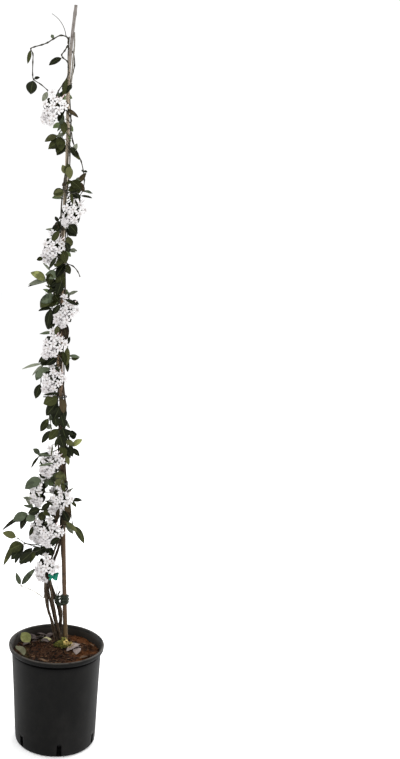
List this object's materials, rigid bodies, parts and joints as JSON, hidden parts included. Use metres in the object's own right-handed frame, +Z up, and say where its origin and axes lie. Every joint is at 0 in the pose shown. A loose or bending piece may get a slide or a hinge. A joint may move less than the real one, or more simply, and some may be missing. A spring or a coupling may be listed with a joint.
{
  "type": "potted climbing plant",
  "caption": "Climbing jasmine twined up a thin tied cane, with leafy shoots and clusters of white star flowers, in a round tapered nursery pot.",
  "frame": {"origin": "centre of the pot's flat base, on the floor", "axes": "+Z up along the pot's axis, -Y towards the viewer, +X to the viewer's right"},
  "size_m": [0.273, 0.2492, 1.8624],
  "materials": {
    "pot_plastic": "matte, slightly worn",
    "bark_soil": "rough bark and coir, dry",
    "bamboo_cane": "smooth, satin",
    "woody_stem": "rough thin bark",
    "green_tie": "soft, matte",
    "teal_tie": "matte",
    "black_tie": "matte",
    "white_petal": "soft, matte",
    "green_leaf": "glossy above, matte below",
    "old_leaf": "matte, withered"
  },
  "bodies": {
    "root": {"cane": "bamboo_cane", "cluster_01": "white_petal", "cluster_02": "white_petal", "cluster_03": "white_petal", "cluster_04": "white_petal", "cluster_05": "white_petal", "cluster_06": "white_petal", "cluster_07": "white_petal", "cluster_08": "white_petal", "cluster_09": "white_petal", "cluster_10": "white_petal", "cluster_11": "white_petal", "cluster_12": "white_petal", "cluster_13": "white_petal", "cluster_14": "white_petal", "fallen_leaf_dry": "old_leaf", "fallen_leaf_left": "old_leaf", "fallen_leaf_pale": "old_leaf", "pot": "pot_plastic", "shoot_arc_right": "green_leaf", "shoot_back_high": "green_leaf", "shoot_back_low": "green_leaf", "shoot_back_middle": "green_leaf", "shoot_back_top": "green_leaf", "shoot_inner_left": "green_leaf", "shoot_low_a": "green_leaf", "shoot_low_b": "green_leaf", "shoot_low_c": "green_leaf", "shoot_low_d": "green_leaf", "shoot_low_e": "green_leaf", "shoot_low_left": "green_leaf", "shoot_low_right": "green_leaf", "shoot_mid_a": "green_leaf", "shoot_mid_b": "green_leaf", "shoot_mid_c": "green_leaf", "shoot_mid_d": "green_leaf", "shoot_mid_e": "green_leaf", "shoot_mid_f": "green_leaf", "shoot_mid_g": "green_leaf", "shoot_mid_h": "green_leaf", "shoot_mid_i": "green_leaf", "shoot_spray_left": "green_leaf", "shoot_top_left": "green_leaf", "shoot_top_middle": "green_leaf", "shoot_top_right": "green_leaf", "shoot_twig_left": "green_leaf", "shoot_upper_a": "green_leaf", "shoot_upper_b": "green_leaf", "shoot_upper_c": "green_leaf", "shoot_upper_d": "green_leaf", "soil": "bark_soil", "stem_back": "woody_stem", "stem_front": "woody_stem", "stem_left": "woody_stem", "stem_outer": "woody_stem", "tie_band_high": "green_tie", "tie_band_low": "green_tie", "tie_black": "black_tie", "tie_ribbon": "teal_tie", "tie_soft": "green_tie"}
  },
  "joints": []
}
